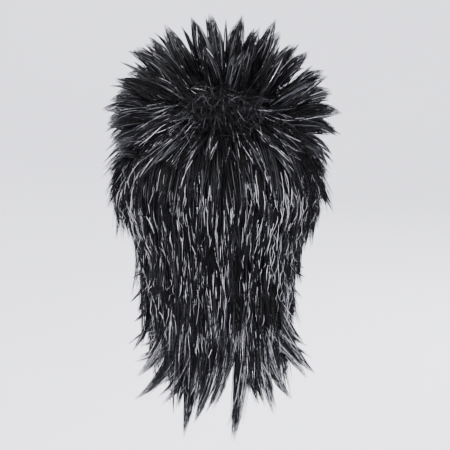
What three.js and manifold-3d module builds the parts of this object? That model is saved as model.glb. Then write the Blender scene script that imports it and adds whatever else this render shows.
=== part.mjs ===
// A mullet wig: short teased spikes on top, flared layers over the ears and long straight hair down the back.
// The hair is modelled as the locks that it falls into, fused to the mass of hair that they grow from, in
// sections, as a wig is sewn. Each section sits on the cap, a thin hollow wall with the shape of a head.
//
// Millimetres, +Z up. The wearer looks along -Y, and +X is on the wearer's left. The origin is the top of the
// head, where the cap's inner face rests on it.
import * as THREE from "three";
import { mergeVertices } from "three/addons/utils/BufferGeometryUtils.js";
import Module from "manifold-3d";

const wasm = await Module();
wasm.setup();

// The head that the cap is cut for
const HEAD_WIDTH = 150;
const HEAD_LENGTH = 190;
const CROWN_HEIGHT = 98; // from the head's widest level up to its top
const NAPE_HEIGHT = 70; // from the widest level down, where the skull rounds under
const NAPE_TUCK = 0.3; // how far the back of the head draws in towards the neck, as a share
const NECK_TUCK = 0.15; // and its sides

// The cap. Its rim's depths are below the top of the head, and its places from the head's middle to the back
const CAP_WALL = 2;
const HAIRLINE_DROP = 62;
const EAR_TAB_DROP = 120;
const EAR_ARCH_DROP = 96;
const NAPE_DROP = 128;
const TEMPLE_AT = -80;
const EAR_TAB_FROM = -58;
const EAR_TAB_TO = -26;
const EAR_ARCH_TO = 22;
const NAPE_FROM = 68;

// The hair
const CLEARANCE = 0.35; // between a section and the cap, and between two sections
const SPIKE_RADIUS = 112; // the tips of the spikes lie on a ball of this radius
const SPIKE_DEPTH = 124; // and from front to back of this one
const BALL_DROP = 45; // the ball's middle, below the top of the head
const TEASED_THICKNESS = 15; // the dense hair that they rise from, over the head
const WHORL = { x: -0.07, y: 0.62, z: 0.78 }; // the way from the head's middle to the whorl, at the back
const CROWN_DROP = 50; // where the crown section ends at the front and the sides
const WHORL_DROP = 27; // and at the back, just below the whorl
const SIDE_DROP = 112; // where the dense hair over the ears ends
const FRINGE_ROOT_DROP = 70; // where the dense hair of the fringe ends
const FRINGE_DROP = 104; // the tips of the fringe
const FRINGE_LOCKS = 9;
const BURN_DROP = 150; // the tips of the locks in front of the ears
const BURN_STEP = 12; // how much shorter and further back the second of them is, in millimetres and degrees
const UPPER_DROP = 184; // where the upper back layer parts into tips
const BACK_LENGTH = 305; // from the top of the head to the longest tips
const NAPE_ROOT_DROP = 96; // where the nape section starts
const NAPE_WALL_DROP = 232; // where its hair parts into locks
const SIDE_THICKNESS = 12;
const FRINGE_THICKNESS = 11;
const NAPE_THICKNESS = 9;
const UPPER_THICKNESS = 6;
const UPPER_RISE = 24; // how far above the nape section's top the upper layer starts to pass over it
const LOCK_WIDTH = 16; // the usual lock at its widest
const LOCK_FLATNESS = 0.5;
const LOCK_ROOT = 0.72; // the width at the root, as a share of the usual width
const LOCK_BELLY = 0.9; // how much it widens before it tapers to its tip
const SPIKE_ROOT = 0.8; // where a spike starts, in the depth of the teased hair
const SPIKE_BOW = 14; // how far off the straight line a spike's bend is, outwards
const SPIKE_SCATTER = 0.08; // how far the roots and the tips of the spikes are moved, as a share
const CLOCK_SCATTER = 5; // and how far the spikes of the fans are turned, in degrees
const SWEEP = 5; // how far a hanging lock drifts sideways, in degrees
const TIP_CLEARANCE = 3; // a slim tip's clearance, as a multiple, which keeps its sides clear too
const FLICK = 1.6; // how late along its length a lock leaves the rest, as a power

// Bearings round the head, in degrees: 0 is the forehead, 90 the left ear and 180 the back
const FRINGE_EDGE = 44;
const FRINGE_LOCK_EDGE = 40;
const BACK_EDGE = 108;

const FINEST = 0.08; // edges shorter than this are merged
const HEAD_SEGMENTS = 20;
const RIM_SEGMENTS = 5;
const WALL_COLUMNS = 8; // facets of a patch of hair, from side to side and down
const WALL_ROWS = 5;
const SPIKE_SIDES = 4;
const LOCK_SIDES = 3; // a hanging lock lies flat on the hair below it
const LOCK_RINGS = 3;

// How the hair falls below the head's widest level: half its width as a share of half HEAD_WIDTH, and how far
// back it lies as a share of half HEAD_LENGTH, at a drop that is a share of BACK_LENGTH
const FALL = [
  { drop: 0.32, half: 1.0, back: 1.0 },
  { drop: 0.36, half: 0.97, back: 0.99 },
  { drop: 0.42, half: 0.86, back: 0.98 },
  { drop: 0.475, half: 0.77, back: 0.96 },
  { drop: 0.55, half: 0.73, back: 0.94 },
  { drop: 0.7, half: 0.72, back: 0.92 },
  { drop: 0.85, half: 0.73, back: 0.92 },
  { drop: 1.0, half: 0.78, back: 0.95 },
];

// The spikes that draw the outline from behind. clock is the tip's angle round the ball, from the top towards
// the wearer's right, reach is a share of SPIKE_RADIUS, and width a share of LOCK_WIDTH
const OUTLINE_SPIKES = [
  { clock: -95, reach: 0.885, width: 1.0 },
  { clock: -87, reach: 0.905, width: 1.2 },
  { clock: -77, reach: 0.93, width: 1.2 },
  { clock: -61, reach: 0.96, width: 1.2 },
  { clock: -46, reach: 1.02, width: 1.1 },
  { clock: -37, reach: 0.99, width: 0.9 },
  { clock: -26, reach: 0.97, width: 1.1 },
  { clock: -11, reach: 1.0, width: 1.2 },
  { clock: -3, reach: 1.0, width: 0.9 },
  { clock: 9, reach: 1.02, width: 1.1 },
  { clock: 19, reach: 0.94, width: 1.0 },
  { clock: 28, reach: 1.03, width: 1.2 },
  { clock: 39, reach: 0.98, width: 0.9 },
  { clock: 48, reach: 1.01, width: 1.0 },
  { clock: 58, reach: 1.02, width: 1.1 },
  { clock: 68, reach: 1.01, width: 1.1 },
  { clock: 78, reach: 1.02, width: 1.1 },
  { clock: 89, reach: 0.98, width: 1.0 },
];

// The other spikes of the crown, in fans. tilt leans a fan back from upright, in degrees, and start is where
// the spikes begin, as a share of the way from the whorl
const SPIKE_FANS = [
  { tilt: -84, from: -54, to: 54, count: 7, reach: 0.9, start: 0.66 },
  { tilt: -60, from: -60, to: 60, count: 8, reach: 0.94, start: 0.56 },
  { tilt: -32, from: -68, to: 68, count: 10, reach: 0.97, start: 0.5 },
  { tilt: 30, from: -80, to: 80, count: 8, reach: 0.9, start: 0.42 },
];

// Locks over the ears, in rows on each side: how far in from the section's front edge and back edge a row
// starts and ends, roots and tips as drops in shares of SIDE_DROP, and how far off the cap the roots begin
// and the tips stand, in shares of SIDE_THICKNESS
const SIDE_ROWS = [
  { front: 16, back: 2, count: 5, root: 0.42, tip: 0.8, sunk: 0.58, stand: 2.17 },
  { front: 8, back: 2, count: 5, root: 0.52, tip: 0.98, sunk: 0.5, stand: 2.0 },
  { front: 4, back: 2, count: 5, root: 0.64, tip: 1.18, sunk: 0.42, stand: 1.58 },
];

// Locks on the upper back layer, in rows as above, in shares of UPPER_DROP and of the two layers' thickness
const UPPER_ROWS = [
  { front: 4, back: 4, count: 8, root: 0.18, tip: 0.6, sunk: 0.39, stand: 1.69 },
  { front: 4, back: 4, count: 8, root: 0.35, tip: 0.78, sunk: 0.49, stand: 1.56 },
  { front: 10, back: 10, count: 8, root: 0.55, tip: 1.0, sunk: 0.81, stand: 1.24 },
  { front: 4, back: 4, count: 9, root: 0.8, tip: 1.24, sunk: 0.75, stand: 1.04 },
];

// The longest locks, a row for each from the wearer's left to the right. side is how far out the tip hangs,
// as a share of half HEAD_WIDTH, and sway how much further out the lock starts, in the same shares. drop is
// the tip's, as a share of BACK_LENGTH, and part where the lock leaves the rest
const NAPE_LOCKS = [
  { side: 0.98, sway: -0.05, drop: 0.66, part: 0.5, width: 0.8 },
  { side: 1.04, sway: -0.15, drop: 0.78, part: 0.6, width: 0.8 },
  { side: 0.98, sway: -0.35, drop: 0.85, part: 0.66, width: 1.1 },
  { side: 0.99, sway: -0.5, drop: 0.92, part: 0.7, width: 0.9 },
  { side: 0.7, sway: -0.42, drop: 0.9, part: 0.7, width: 0.8 },
  { side: 0.5, sway: 0.02, drop: 0.92, part: 0.72, width: 0.7 },
  { side: 0.4, sway: -0.04, drop: 0.99, part: 0.7, width: 1.2 },
  { side: 0.28, sway: -0.22, drop: 0.95, part: 0.7, width: 1.1 },
  { side: 0.1, sway: -0.3, drop: 0.93, part: 0.7, width: 0.9 },
  { side: -0.18, sway: -0.18, drop: 1.0, part: 0.72, width: 1.1 },
  { side: -0.36, sway: -0.1, drop: 0.87, part: 0.68, width: 0.9 },
  { side: -0.52, sway: 0.07, drop: 0.91, part: 0.7, width: 0.9 },
  { side: -0.67, sway: 0.06, drop: 0.94, part: 0.72, width: 0.8 },
  { side: -0.87, sway: 0.24, drop: 0.91, part: 0.7, width: 0.9 },
  { side: -1.1, sway: 0.36, drop: 0.86, part: 0.66, width: 1.1 },
  { side: -1.0, sway: 0.22, drop: 0.755, part: 0.6, width: 0.9 },
  { side: -0.94, sway: 0.05, drop: 0.65, part: 0.5, width: 0.8 },
];

const { degToRad, radToDeg, lerp, clamp } = THREE.MathUtils;
const HAIR_START = CAP_WALL + CLEARANCE; // off the head, where the hair's sections begin

// A fixed number between -1 and 1 for each pair of whole numbers, so that no two locks are alike
function vary(index, kind) {
  const wave = Math.sin(index * 12.9898 + kind * 78.233) * 43758.5453;
  return 2 * (wave - Math.floor(wave)) - 1;
}

// The share at place i of a row of count, from -1 to 1
function across(i, count) {
  return count > 1 ? (2 * i) / (count - 1) - 1 : 0;
}

// A point on the head in a direction from its middle, moved outwards by offset
function headPoint(direction, offset) {
  const height = direction.z > 0 ? CROWN_HEIGHT : NAPE_HEIGHT;
  const low = Math.min(direction.z, 0);
  const tuck = direction.y > 0 ? 1 + NAPE_TUCK * low : 1;
  return new THREE.Vector3(
    (HEAD_WIDTH / 2 + offset) * direction.x * (1 + NECK_TUCK * low),
    (HEAD_LENGTH / 2 + offset) * direction.y * tuck,
    (height + offset) * direction.z - CROWN_HEIGHT,
  );
}

// The fall of the hair at a drop below the top of the head, interpolated from FALL
function fallAt(drop) {
  const share = drop / BACK_LENGTH;
  const next = clamp(FALL.findIndex((row) => row.drop > share), 1, FALL.length - 1);
  const [above, below] = [FALL[next - 1], FALL[next]];
  const t = clamp((share - above.drop) / (below.drop - above.drop), 0, 1);
  return {
    half: (HEAD_WIDTH / 2) * lerp(above.half, below.half, t),
    back: (HEAD_LENGTH / 2) * lerp(above.back, below.back, t),
  };
}

// A point of the hair at a bearing and a drop: over the head it follows the head, and below it the fall
function hairPoint(bearing, drop, offset) {
  const b = degToRad(bearing);
  if (drop < CROWN_HEIGHT) {
    const z = 1 - drop / CROWN_HEIGHT;
    const flat = Math.sqrt(1 - z * z);
    return headPoint(new THREE.Vector3(flat * Math.sin(b), -flat * Math.cos(b), z), offset);
  }
  const { half, back } = fallAt(drop);
  return new THREE.Vector3((half + offset) * Math.sin(b), -(back + offset) * Math.cos(b), -drop);
}

// The level direction along the hair's surface at a bearing
function acrossAt(bearing) {
  const b = degToRad(bearing);
  return new THREE.Vector3(Math.cos(b), Math.sin(b), 0);
}

// A closed geometry with each of its vertices moved by place, as a solid
function solid(geometry, place) {
  geometry.deleteAttribute("normal");
  geometry.deleteAttribute("uv");
  const shape = mergeVertices(geometry, 1e-4);
  const at = shape.getAttribute("position");
  const vertex = new THREE.Vector3();
  for (let i = 0; i < at.count; i++) {
    const moved = place(vertex.fromBufferAttribute(at, i));
    at.setXYZ(i, moved.x, moved.y, moved.z);
  }
  return new wasm.Manifold(
    new wasm.Mesh({ numProp: 3, vertProperties: at.array, triVerts: new Uint32Array(shape.index.array) }),
  );
}

function joined(solids) {
  return solids.reduce((all, next) => all.add(next));
}

// The largest body of a cut solid, without the crumbs
function largest(made) {
  return made.simplify(FINEST).decompose().sort((a, b) => b.volume() - a.volume())[0];
}

// The whole head, closed, grown by offset. Three's sphere has its poles on Y, which is turned up to Z here
function headSolid(offset) {
  const ball = new THREE.SphereGeometry(1, HEAD_SEGMENTS, Math.round(HEAD_SEGMENTS * 0.7));
  return solid(ball.rotateX(Math.PI / 2), (v) => headPoint(v, offset));
}

// A block between two corners
function block(low, high) {
  const size = new THREE.Vector3().subVectors(high, low);
  const middle = new THREE.Vector3().addVectors(high, low).divideScalar(2);
  return solid(new THREE.BoxGeometry(size.x, size.y, size.z), (v) => v.add(middle));
}

// A thick patch of hair between two bearings and two drops. inner and outer give the offsets of its two faces
// from the share of the way down
function patch({ bearings, drops, inner, outer, columns, rows }, grow) {
  const spread = radToDeg(grow / (HEAD_WIDTH / 2));
  return solid(new THREE.BoxGeometry(1, 1, 1, columns, rows, 1), (v) => {
    const down = 0.5 - v.y;
    const bearing = lerp(bearings[0] - spread, bearings[1] + spread, v.x + 0.5);
    const drop = lerp(drops[0] - grow, drops[1] + grow, down);
    const offset = v.z > 0 ? outer(down) + grow : inner(down) - grow;
    return hairPoint(bearing, drop, offset);
  });
}

// A tapered lock along a path: broad is the way that it is widest, and it is pointed
function lock({ path, width, broad, sides = LOCK_SIDES }, grow) {
  const cone = new THREE.ConeGeometry(1, 1, sides, LOCK_RINGS);
  return solid(cone, (v) => {
    const along = v.y + 0.5;
    const tangent = path.getTangent(along);
    const ends = along > 0.999 ? TIP_CLEARANCE : along - 1; // the tip grows forwards and the root backwards
    const point = path.getPoint(along).addScaledVector(tangent, ends * grow);
    if (Math.hypot(v.x, v.z) < 1e-6) return point;
    const angle = Math.atan2(-v.z, -v.x);
    const taper = LOCK_ROOT + LOCK_BELLY * along - (LOCK_ROOT + LOCK_BELLY) * along ** 2;
    const radius = (width / 2) * taper;
    const side = broad.clone().addScaledVector(tangent, -broad.dot(tangent)).normalize();
    const normal = new THREE.Vector3().crossVectors(side, tangent);
    return point
      .addScaledVector(side, Math.cos(angle) * (radius + grow))
      .addScaledVector(normal, Math.sin(angle) * (radius * LOCK_FLATNESS + grow));
  });
}

// A spike that starts part of the way from the whorl and bows up and out to a point on the ball of tips:
// clock goes round the ball from behind, tilt leans back
function spike({ clock, tilt, reach, width, start }, index) {
  const [c, t] = [degToRad(clock), degToRad(tilt)];
  const way = new THREE.Vector3(-Math.sin(c), Math.cos(c) * Math.sin(t), Math.cos(c) * Math.cos(t));
  const whorl = new THREE.Vector3(WHORL.x, WHORL.y, WHORL.z);
  const up = whorl.lerp(way, start + SPIKE_SCATTER * vary(index, 1)).normalize();
  const root = headPoint(up, SPIKE_ROOT * TEASED_THICKNESS);
  const tip = new THREE.Vector3(
    reach * SPIKE_RADIUS * way.x,
    SPIKE_DEPTH * (reach * way.y + SPIKE_SCATTER * vary(index, 2)),
    reach * SPIKE_RADIUS * way.z - BALL_DROP,
  );
  const bend = root.clone().lerp(tip, 0.5).addScaledVector(up, SPIKE_BOW);
  return {
    path: new THREE.QuadraticBezierCurve3(root, bend, tip),
    width: LOCK_WIDTH * width,
    sides: SPIKE_SIDES,
    broad: way.clone().cross(new THREE.Vector3(0.3 * vary(index, 3), 1, 0.1)).normalize(),
  };
}

// A lock that lies along the hair from one drop to another: sunk and stand are how far off the cap its root
// and its tip are, and it leaves the rest ever faster
function hangingLock({ bearing, root, tip, sunk, stand, sweep, width }) {
  const points = [0, 0.35, 0.7, 1].map((along) => {
    const offset = HAIR_START + lerp(sunk, stand, along ** FLICK);
    return hairPoint(bearing + sweep * along, lerp(root, tip, along), offset);
  });
  return { path: new THREE.CatmullRomCurve3(points), width, broad: acrossAt(bearing) };
}

// Rows of hanging locks, with each lock a little different
function lockRows(rows, { edges, unit, depth, sign = 1, seed, width }) {
  return rows.flatMap((row, level) =>
    Array.from({ length: row.count }, (_, i) => {
      const index = seed + 20 * level + i;
      return hangingLock({
        bearing: sign * lerp(edges[0] + row.front, edges[1] - row.back, (across(i, row.count) + 1) / 2),
        root: row.root * unit,
        tip: unit * (row.tip + 0.05 * vary(index, 1)),
        sunk: row.sunk * depth,
        stand: depth * (row.stand + 0.18 * vary(index, 2)),
        sweep: SWEEP * vary(index, 3),
        width: LOCK_WIDTH * width * (1 + 0.2 * vary(index, 4)),
      });
    }),
  );
}

// One of the longest locks, which runs down the fall and sweeps from where it starts to the place of its tip
function napeLock({ side, sway, drop, part, width }, index) {
  const depth = HAIR_START + 0.55 * NAPE_THICKNESS;
  const at = (way, share, offset) => {
    const hung = clamp(side + sway * (1 - way), -0.93, 0.93);
    return hairPoint(180 - radToDeg(Math.asin(hung)), share * BACK_LENGTH, offset);
  };
  const tip = at(1, drop, depth + NAPE_THICKNESS * (0.55 + 0.65 * vary(index, 4)));
  const low = at(0.55 ** FLICK, lerp(part, drop, 0.55), depth);
  low.x += 0.35 * ((side * HEAD_WIDTH) / 2 - at(1, drop, depth).x);
  tip.x = (side * HEAD_WIDTH) / 2;
  const parting = at(0, part, depth);
  return {
    path: new THREE.CatmullRomCurve3([at(0, lerp(part, drop, -0.35), depth), parting, low, tip]),
    width: LOCK_WIDTH * width,
    broad: new THREE.Vector3(parting.y, -parting.x, 0).normalize(),
  };
}

// The cap is the head's shape with a wall, cut off below a rim that is drawn from the side
function cap() {
  const [front, back] = [-HEAD_LENGTH, HEAD_LENGTH];
  const behindEar = (EAR_ARCH_DROP + NAPE_DROP) / 2;
  const rim = new THREE.Shape()
    .moveTo(front, HEAD_LENGTH)
    .lineTo(front, -HAIRLINE_DROP)
    .lineTo(TEMPLE_AT, -HAIRLINE_DROP)
    .quadraticCurveTo(EAR_TAB_FROM, -HAIRLINE_DROP, EAR_TAB_FROM, -EAR_TAB_DROP)
    .lineTo(EAR_TAB_TO, -EAR_TAB_DROP)
    .quadraticCurveTo(EAR_TAB_TO, -EAR_ARCH_DROP, 0, -EAR_ARCH_DROP)
    .quadraticCurveTo(EAR_ARCH_TO, -EAR_ARCH_DROP, EAR_ARCH_TO, -behindEar)
    .quadraticCurveTo(EAR_ARCH_TO, -NAPE_DROP, NAPE_FROM, -NAPE_DROP)
    .lineTo(back, -NAPE_DROP)
    .lineTo(back, HEAD_LENGTH);
  const width = HEAD_WIDTH * 2;
  const pull = { depth: width, bevelEnabled: false, curveSegments: RIM_SEGMENTS };
  const above = new THREE.ExtrudeGeometry(rim, pull);
  // The shape's own x and y become Y and Z, and it is pulled along X
  const keep = solid(above, (v) => new THREE.Vector3(v.z - width / 2, v.x, v.y));
  return headSolid(CAP_WALL).subtract(headSolid(0)).intersect(keep);
}

const OUTER_CAP = headSolid(HAIR_START);

// The crown is the dense teased hair on top with its spikes
function crownSpikes(grow) {
  const teased = headSolid(TEASED_THICKNESS + grow);
  const far = 2 * HEAD_LENGTH;
  const keep = block(new THREE.Vector3(-far, -far, -CROWN_DROP - grow), new THREE.Vector3(far, far, far));
  const outline = OUTLINE_SPIKES.map((row, i) => spike({ ...row, tilt: 6 + 8 * vary(i, 5), start: 0.5 }, i));
  const fans = SPIKE_FANS.flatMap(({ tilt, from, to, count, reach, start }, fan) =>
    Array.from({ length: count }, (_, i) => {
      const index = 100 * (fan + 1) + i;
      const clock = lerp(from, to, (across(i, count) + 1) / 2) + CLOCK_SCATTER * vary(index, 6);
      return spike({ clock, tilt, reach: reach + 0.06 * vary(index, 7), width: 1.2, start }, index);
    }),
  );
  // The upper back layer lies below the whorl
  const room = patch(
    {
      bearings: [BACK_EDGE, 360 - BACK_EDGE],
      drops: [WHORL_DROP, CROWN_DROP * 1.2],
      inner: () => -TEASED_THICKNESS,
      outer: () => TEASED_THICKNESS * 2,
      columns: WALL_COLUMNS,
      rows: 1,
    },
    2 * CLEARANCE - grow,
  );
  const dense = teased.intersect(keep).subtract(room);
  return joined([dense, ...[...outline, ...fans].map((one) => lock(one, grow))]);
}

// The hair over an ear: sign is 1 on the wearer's left and -1 on the right
function side(sign, grow) {
  const edges = [FRINGE_EDGE, BACK_EDGE];
  const wall = patch(
    {
      bearings: edges.map((edge) => sign * edge).sort((a, b) => a - b),
      drops: [CROWN_DROP, SIDE_DROP],
      inner: () => 0,
      outer: (down) => HAIR_START + SIDE_THICKNESS * (1 - 0.5 * down ** 2),
      columns: 6,
      rows: 3,
    },
    grow,
  );
  const seed = sign > 0 ? 500 : 600;
  const size = { unit: SIDE_DROP, depth: SIDE_THICKNESS, width: 1.2 };
  const layers = lockRows(SIDE_ROWS, { ...size, edges, sign, seed });
  const burns = [0, 1].map((i) =>
    hangingLock({
      bearing: sign * (FRINGE_EDGE + BURN_STEP * (i + 1.2)),
      root: 0.72 * SIDE_DROP,
      tip: BURN_DROP - BURN_STEP * i,
      sunk: 0.42 * SIDE_THICKNESS,
      stand: (0.17 + 0.33 * i) * SIDE_THICKNESS,
      sweep: sign * SWEEP,
      width: LOCK_WIDTH,
    }),
  );
  return joined([wall, ...[...layers, ...burns].map((one) => lock(one, grow))]);
}

// The short bangs over the forehead
function fringe(grow) {
  const wall = patch(
    {
      bearings: [-FRINGE_EDGE, FRINGE_EDGE],
      drops: [CROWN_DROP, FRINGE_ROOT_DROP],
      inner: () => 0,
      outer: (down) => HAIR_START + FRINGE_THICKNESS * (1 - 0.6 * down),
      columns: WALL_COLUMNS,
      rows: 2,
    },
    grow,
  );
  const bangs = Array.from({ length: FRINGE_LOCKS }, (_, i) =>
    hangingLock({
      bearing: across(i, FRINGE_LOCKS) * FRINGE_LOCK_EDGE,
      root: 0.8 * FRINGE_ROOT_DROP,
      tip: FRINGE_DROP * (1 + 0.09 * vary(i, 8)),
      sunk: 0.27 * FRINGE_THICKNESS,
      stand: FRINGE_THICKNESS * (1 + 0.36 * vary(i, 9)),
      sweep: SWEEP * vary(i, 10),
      width: LOCK_WIDTH * 1.1,
    }),
  );
  return joined([wall, ...bangs.map((one) => lock(one, grow))]);
}

// The layer that falls from the whorl over the back of the head and the top of the nape section
function upperBackLayer(grow) {
  const over = NAPE_THICKNESS + CLEARANCE;
  const edges = [BACK_EDGE, 360 - BACK_EDGE];
  // Its inner face lies on the cap above the nape section, and on the nape section below
  const passed = (drop) => clamp(1 - (0.98 * NAPE_ROOT_DROP - drop) / UPPER_RISE, 0, 1);
  const [thin, full] = [0.6 * TEASED_THICKNESS, over + UPPER_THICKNESS];
  const wall = patch(
    {
      bearings: edges,
      drops: [WHORL_DROP, UPPER_DROP],
      inner: (down) => (HAIR_START + over) * passed(lerp(WHORL_DROP, UPPER_DROP, down)),
      outer: (down) => {
        const thick = lerp(thin, full, Math.min(down * 2, 1));
        return HAIR_START + thick - 0.5 * UPPER_THICKNESS * down ** 2;
      },
      columns: WALL_COLUMNS,
      rows: WALL_ROWS,
    },
    grow,
  );
  const size = { unit: UPPER_DROP, depth: full, width: 1.15 };
  const locks = lockRows(UPPER_ROWS, { ...size, edges, seed: 700 });
  return joined([wall, ...locks.map((one) => lock(one, grow))]);
}

// The longest hair, round the back of the head above the nape
function napeLengths(grow) {
  const wall = patch(
    {
      bearings: [BACK_EDGE, 360 - BACK_EDGE],
      drops: [NAPE_ROOT_DROP, NAPE_WALL_DROP],
      inner: (down) => HAIR_START * Math.min(down * 5, 1),
      outer: (down) => HAIR_START + NAPE_THICKNESS * (1 - 0.4 * down ** 2),
      columns: WALL_COLUMNS,
      rows: WALL_ROWS,
    },
    grow,
  );
  return joined([wall, ...NAPE_LOCKS.map((row, i) => lock(napeLock(row, i), grow))]);
}

// Each section is cut clear of the cap and of the sections that were placed before it
const SECTIONS = [
  { name: "nape_lengths", build: napeLengths },
  { name: "upper_back_layer", build: upperBackLayer },
  { name: "side_left", build: (grow) => side(1, grow) },
  { name: "side_right", build: (grow) => side(-1, grow) },
  { name: "fringe", build: fringe },
  { name: "crown_spikes", build: crownSpikes },
];

const HAIR = new THREE.MeshStandardMaterial({ color: 0x121316, roughness: 0.42, metalness: 0 });
const CAP_CLOTH = new THREE.MeshStandardMaterial({ color: 0x17171a, roughness: 0.9, metalness: 0 });

// A finished solid as a named mesh
function meshOf(name, made, material) {
  const { vertProperties, triVerts } = made.getMesh();
  const geometry = new THREE.BufferGeometry()
    .setAttribute("position", new THREE.BufferAttribute(vertProperties, 3))
    .setIndex(new THREE.BufferAttribute(triVerts, 1));
  geometry.computeVertexNormals();
  const mesh = new THREE.Mesh(geometry, material);
  mesh.name = name;
  return mesh;
}

const wig = new THREE.Group();
wig.name = "mullet_wig";
wig.add(meshOf("cap", cap(), CAP_CLOTH));
const placed = [];
for (const { name, build } of SECTIONS) {
  const cleared = placed.reduce((rest, earlier) => rest.subtract(earlier), build(0));
  wig.add(meshOf(name, largest(cleared.subtract(OUTER_CAP)), HAIR));
  placed.push(build(CLEARANCE));
}

export default wig;
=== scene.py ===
# %% [markdown]
# # A spiky mullet wig
# The wig is a stretch cap with black synthetic hair sewn to it: short teased spikes on top, flared layers over
# the ears and long straight hair down the back, with silver tinsel strands in between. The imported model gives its
# size and the place of every section, so it is loaded first and nothing in it is moved.

# %% Load the frame
import math

import bmesh
import bpy
import numpy as np
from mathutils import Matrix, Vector


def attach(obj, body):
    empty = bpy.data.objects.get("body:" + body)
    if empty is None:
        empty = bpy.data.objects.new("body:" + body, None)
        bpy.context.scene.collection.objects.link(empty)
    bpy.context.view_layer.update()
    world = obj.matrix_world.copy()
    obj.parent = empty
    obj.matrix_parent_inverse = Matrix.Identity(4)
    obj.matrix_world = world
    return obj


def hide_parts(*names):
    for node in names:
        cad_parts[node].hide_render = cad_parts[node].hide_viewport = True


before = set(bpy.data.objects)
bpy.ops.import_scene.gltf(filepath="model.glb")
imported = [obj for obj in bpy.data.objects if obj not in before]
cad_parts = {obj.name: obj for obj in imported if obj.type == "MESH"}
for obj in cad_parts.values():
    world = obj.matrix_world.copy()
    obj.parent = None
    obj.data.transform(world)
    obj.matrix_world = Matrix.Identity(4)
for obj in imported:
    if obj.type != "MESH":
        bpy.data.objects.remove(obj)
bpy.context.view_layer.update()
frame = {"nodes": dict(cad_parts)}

nodes = frame["nodes"]
print("nodes:", ", ".join(nodes))

# %% [markdown]
# ## The camera
# The picture is taken from behind, nearly level with the hair, from about a metre and a half. A long lens keeps
# the proportions calm. The lens follows from how much of the object the frame takes in, which is easier to reason
# about than a focal length.

# %% Camera
CAMERA_TARGET = Vector((-0.006, 0.03, -0.123))
CAMERA_DISTANCE = 1.5
CAMERA_ELEVATION = math.radians(5)
FIELD_WIDTH = 0.405  # how much the frame shows across, at the target
SENSOR_WIDTH = 36  # mm, as in a full-frame camera

back = Vector((0, math.cos(CAMERA_ELEVATION), math.sin(CAMERA_ELEVATION)))
camera = bpy.data.objects.new("camera", bpy.data.cameras.new("camera"))
camera.data.sensor_width = SENSOR_WIDTH
camera.data.lens = SENSOR_WIDTH * CAMERA_DISTANCE / FIELD_WIDTH
camera.location = CAMERA_TARGET + back * CAMERA_DISTANCE
camera.rotation_mode = "QUATERNION"
camera.rotation_quaternion = (-back).to_track_quat("-Z", "Y")
bpy.context.collection.objects.link(camera)
bpy.context.scene.camera = camera
print("lens in mm:", round(camera.data.lens))

# %% [markdown]
# ## The studio floor
# A pale seamless floor that curves up all round works for a camera on any side. It could be a plane with one
# curved edge, but then a camera at the front would look past it. Its profile is a line of a few points, spun round
# the vertical axis, and far below the hair, so that it catches no hard shadow.

# %% Studio floor
FLOOR_HEIGHT = -0.56
FLOOR_PROFILE = [(0, 0), (0.9, 0), (1.6, 0.04), (2.2, 0.15), (2.8, 0.4), (3.3, 0.85), (3.7, 1.6), (3.9, 2.6)]
FLOOR_STEPS = 72
FLOOR_MERGE = 1e-4  # the spun rows meet closer than this


def finished(bm, name, material=None):
    """Turns a bmesh into a smooth object at the origin."""
    mesh = bpy.data.meshes.new(name)
    bm.to_mesh(mesh)
    bm.free()
    mesh.polygons.foreach_set("use_smooth", [True] * len(mesh.polygons))
    made = bpy.data.objects.new(name, mesh)
    if material:
        mesh.materials.append(material)
    bpy.context.collection.objects.link(made)
    return made


bm = bmesh.new()
row = [bm.verts.new((x, 0, FLOOR_HEIGHT + z)) for x, z in FLOOR_PROFILE]
edges = [bm.edges.new(pair) for pair in zip(row, row[1:])]
bmesh.ops.spin(
    bm, geom=row + edges, cent=(0, 0, 0), axis=(0, 0, 1), angle=math.tau, steps=FLOOR_STEPS, use_merge=True
)
bmesh.ops.remove_doubles(bm, verts=bm.verts, dist=FLOOR_MERGE)
bmesh.ops.recalc_face_normals(bm, faces=bm.faces)
studio_floor = finished(bm, "studio_floor")
print("floor faces:", len(studio_floor.data.polygons))

# %% [markdown]
# ## The light
# Black hair shows by its highlights alone. Large area lights are soft because of their size, and the one over the
# camera's right shoulder is stronger than the others, so that the strands show a light side and a dark side. A
# bright even room gives the pale ground and fills the deepest shadows a little.

# %% Lights
LIGHTS = [
    # name, place, size in metres, watts
    ("key", (0.9, 1.7, 1.3), 0.5, 108),
    ("fill", (-1.6, 1.3, 0.4), 0.8, 17),
    ("top", (0.1, -0.1, 1.9), 0.9, 26),
    ("front", (-0.6, -1.9, 0.8), 0.8, 40),
]
ROOM_COLOUR = (0.86, 0.86, 0.93, 1)
ROOM_STRENGTH = 1.9

for name, place, size, watts in LIGHTS:
    light = bpy.data.lights.new(name, "AREA")
    light.size = size
    light.energy = watts
    lamp = bpy.data.objects.new(name, light)
    lamp.location = place
    lamp.rotation_mode = "QUATERNION"
    lamp.rotation_quaternion = (CAMERA_TARGET - Vector(place)).to_track_quat("-Z", "Y")
    bpy.context.collection.objects.link(lamp)

world = bpy.data.worlds.new("pale_room")
bpy.context.scene.world = world
world.use_nodes = True
world.node_tree.nodes["Background"].inputs["Color"].default_value = ROOM_COLOUR
world.node_tree.nodes["Background"].inputs["Strength"].default_value = ROOM_STRENGTH
print("lights:", len(LIGHTS))

# %% [markdown]
# ## The materials
# Every finish here is procedural: a few nodes turn a place on the surface into a colour or a roughness. Small
# helpers for the nodes that come back keep the later cells short. Every strand lies on its own column of a UV map,
# and the column sets how dark it is, so one material gives thousands of different strands. The map is named
# OFBake, so that an export can keep it.

# %% Material helpers
STRAND_MAP = "OFBake"


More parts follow.
